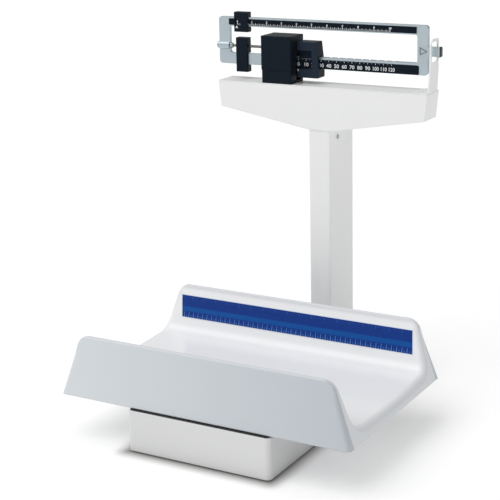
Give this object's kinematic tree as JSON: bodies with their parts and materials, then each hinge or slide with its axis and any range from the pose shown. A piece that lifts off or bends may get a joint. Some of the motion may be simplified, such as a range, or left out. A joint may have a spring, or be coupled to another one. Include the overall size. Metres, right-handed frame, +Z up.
{
  "type": "baby weighing scale",
  "caption": "Mechanical baby scale with an open trough tray, a box base, a rear column and a die-cast balance beam with sliding poises.",
  "frame": {"origin": "on the floor under the middle of the bounding box", "axes": "+X along the tray and the beam towards the balance nose, +Y towards the column, +Z up"},
  "size_m": [0.5566, 0.555, 0.6888],
  "materials": {
    "tray_white": "smooth moulded gloss",
    "tape_blue": "printed satin film",
    "white_paint": "semi-gloss powder coat",
    "grey_paint": "satin powder coat",
    "beam_alloy": "satin die cast",
    "scale_black": "black anodised plate with white print",
    "black_paint": "semi-gloss black enamel",
    "index_white": "white paint",
    "chrome_plate": "polished",
    "zinc_steel": "zinc plated",
    "knife_steel": "ground and hardened",
    "lever_iron": "grey painted casting",
    "rubber_black": "matt"
  },
  "bodies": {
    "stand": {"base_cover": "white_paint", "base_pan": "grey_paint", "foot_pads": "rubber_black", "foot_studs": "zinc_steel", "base_seal": "rubber_black", "column_tube": "white_paint", "column_cap": "white_paint", "column_brackets": "grey_paint", "column_bolts": "zinc_steel", "column_side_screws": "chrome_plate", "beam_housing": "white_paint", "housing_lid": "white_paint", "balance_loop": "white_paint", "loop_screws": "chrome_plate", "fulcrum_stand": "zinc_steel", "fulcrum_bearings": "knife_steel", "fulcrum_cover": "black_paint", "cover_skirt": "black_paint", "shelf_bearings": "zinc_steel", "shelf_bearing_bridge": "grey_paint", "base_bearings": "zinc_steel"},
    "beam": {"beam_frame": "beam_alloy", "beam_fulcrum_knife": "knife_steel", "beam_load_knife": "knife_steel", "upper_scale_plate": "scale_black", "lower_scale_plate": "scale_black", "balance_arrow": "beam_alloy", "nose_cap": "chrome_plate", "notch_rack": "beam_alloy"},
    "tare_screw": {"tare_screw": "chrome_plate", "tare_collar": "chrome_plate"},
    "tare_weight": {"tare_weight": "black_paint"},
    "small_poise": {"small_poise": "black_paint", "small_poise_pointer": "index_white", "small_poise_spring": "knife_steel"},
    "large_poise": {"large_poise": "black_paint", "poise_bezel": "black_paint", "large_poise_index": "index_white", "poise_pawl": "knife_steel"},
    "load_link": {"load_link": "zinc_steel"},
    "shelf_lever": {"shelf_lever": "lever_iron", "shelf_lever_knives": "knife_steel"},
    "draw_rod": {"draw_rod": "zinc_steel", "draw_rod_turnbuckle": "zinc_steel"},
    "long_lever": {"long_lever": "lever_iron", "long_lever_knives": "knife_steel"},
    "short_lever": {"short_lever": "lever_iron", "short_lever_knives": "knife_steel"},
    "lever_link": {"lever_link": "zinc_steel"},
    "platform": {"platform_bearings": "zinc_steel", "platform_frame": "grey_paint", "platform_studs": "zinc_steel", "tray_carrier": "grey_paint", "tray_pads": "rubber_black", "tray_shell": "tray_white", "measuring_tape": "tape_blue"}
  },
  "joints": [
    {"name": "beam_tilt", "type": "hinge", "parent": "stand", "child": "beam", "pos_m": [-0.074, 0.211, 0.604], "axis": [0, -1, 0], "range_deg": [-1.8, 1.8]},
    {"name": "small_poise_slide", "type": "slide", "parent": "beam", "child": "small_poise", "axis": [1, 0, 0], "range_m": [0, 0.312]},
    {"name": "large_poise_slide", "type": "slide", "parent": "beam", "child": "large_poise", "axis": [1, 0, 0], "range_m": [0, 0.1866]},
    {"name": "tare_screw_turn", "type": "hinge", "parent": "beam", "child": "tare_screw", "pos_m": [-0.2, 0.211, 0.625], "axis": [1, 0, 0], "range_deg": [-3605, 17110]},
    {"name": "tare_weight_slide", "type": "slide", "parent": "beam", "child": "tare_weight", "axis": [1, 0, 0], "range_m": [-0.008, 0.038]},
    {"name": "load_link_lift", "type": "slide", "parent": "stand", "child": "load_link", "axis": [0, 0, 1], "range_m": [-0.0009, 0.0009]},
    {"name": "shelf_lever_tilt", "type": "hinge", "parent": "stand", "child": "shelf_lever", "pos_m": [0.08, 0.211, 0.528], "axis": [0, -1, 0], "range_deg": [-0.27788, 0.27788]},
    {"name": "draw_rod_lift", "type": "slide", "parent": "stand", "child": "draw_rod", "axis": [0, 0, 1], "range_m": [-0.00038799, 0.00038799]},
    {"name": "long_lever_tilt", "type": "hinge", "parent": "stand", "child": "long_lever", "pos_m": [0, -0.255, 0.044], "axis": [1, 0, 0], "range_deg": [-0.047705, 0.047705]},
    {"name": "lever_link_lift", "type": "slide", "parent": "stand", "child": "lever_link", "axis": [0, 0, 1], "range_m": [-0.00013738, 0.00013738]},
    {"name": "short_lever_tilt", "type": "hinge", "parent": "stand", "child": "short_lever", "pos_m": [0, 0.075, 0.044], "axis": [1, 0, 0], "range_deg": [-0.047705, 0.047705]},
    {"name": "platform_lift", "type": "slide", "parent": "stand", "child": "platform", "axis": [0, 0, 1], "range_m": [-0.00004163, 0.00004163]}
  ],
  "couplings": [
    {"joint": "tare_screw_turn", "follows": "tare_weight_slide", "rad_per_m": 7854},
    {"joint": "load_link_lift", "follows": "beam_tilt", "m_per_rad": -0.028},
    {"joint": "shelf_lever_tilt", "follows": "beam_tilt", "ratio": 0.15135},
    {"joint": "draw_rod_lift", "follows": "beam_tilt", "m_per_rad": -0.012108},
    {"joint": "long_lever_tilt", "follows": "beam_tilt", "ratio": -0.025983},
    {"joint": "lever_link_lift", "follows": "beam_tilt", "m_per_rad": -0.0042872},
    {"joint": "short_lever_tilt", "follows": "beam_tilt", "ratio": 0.025983},
    {"joint": "platform_lift", "follows": "beam_tilt", "m_per_rad": -0.0012992}
  ]
}
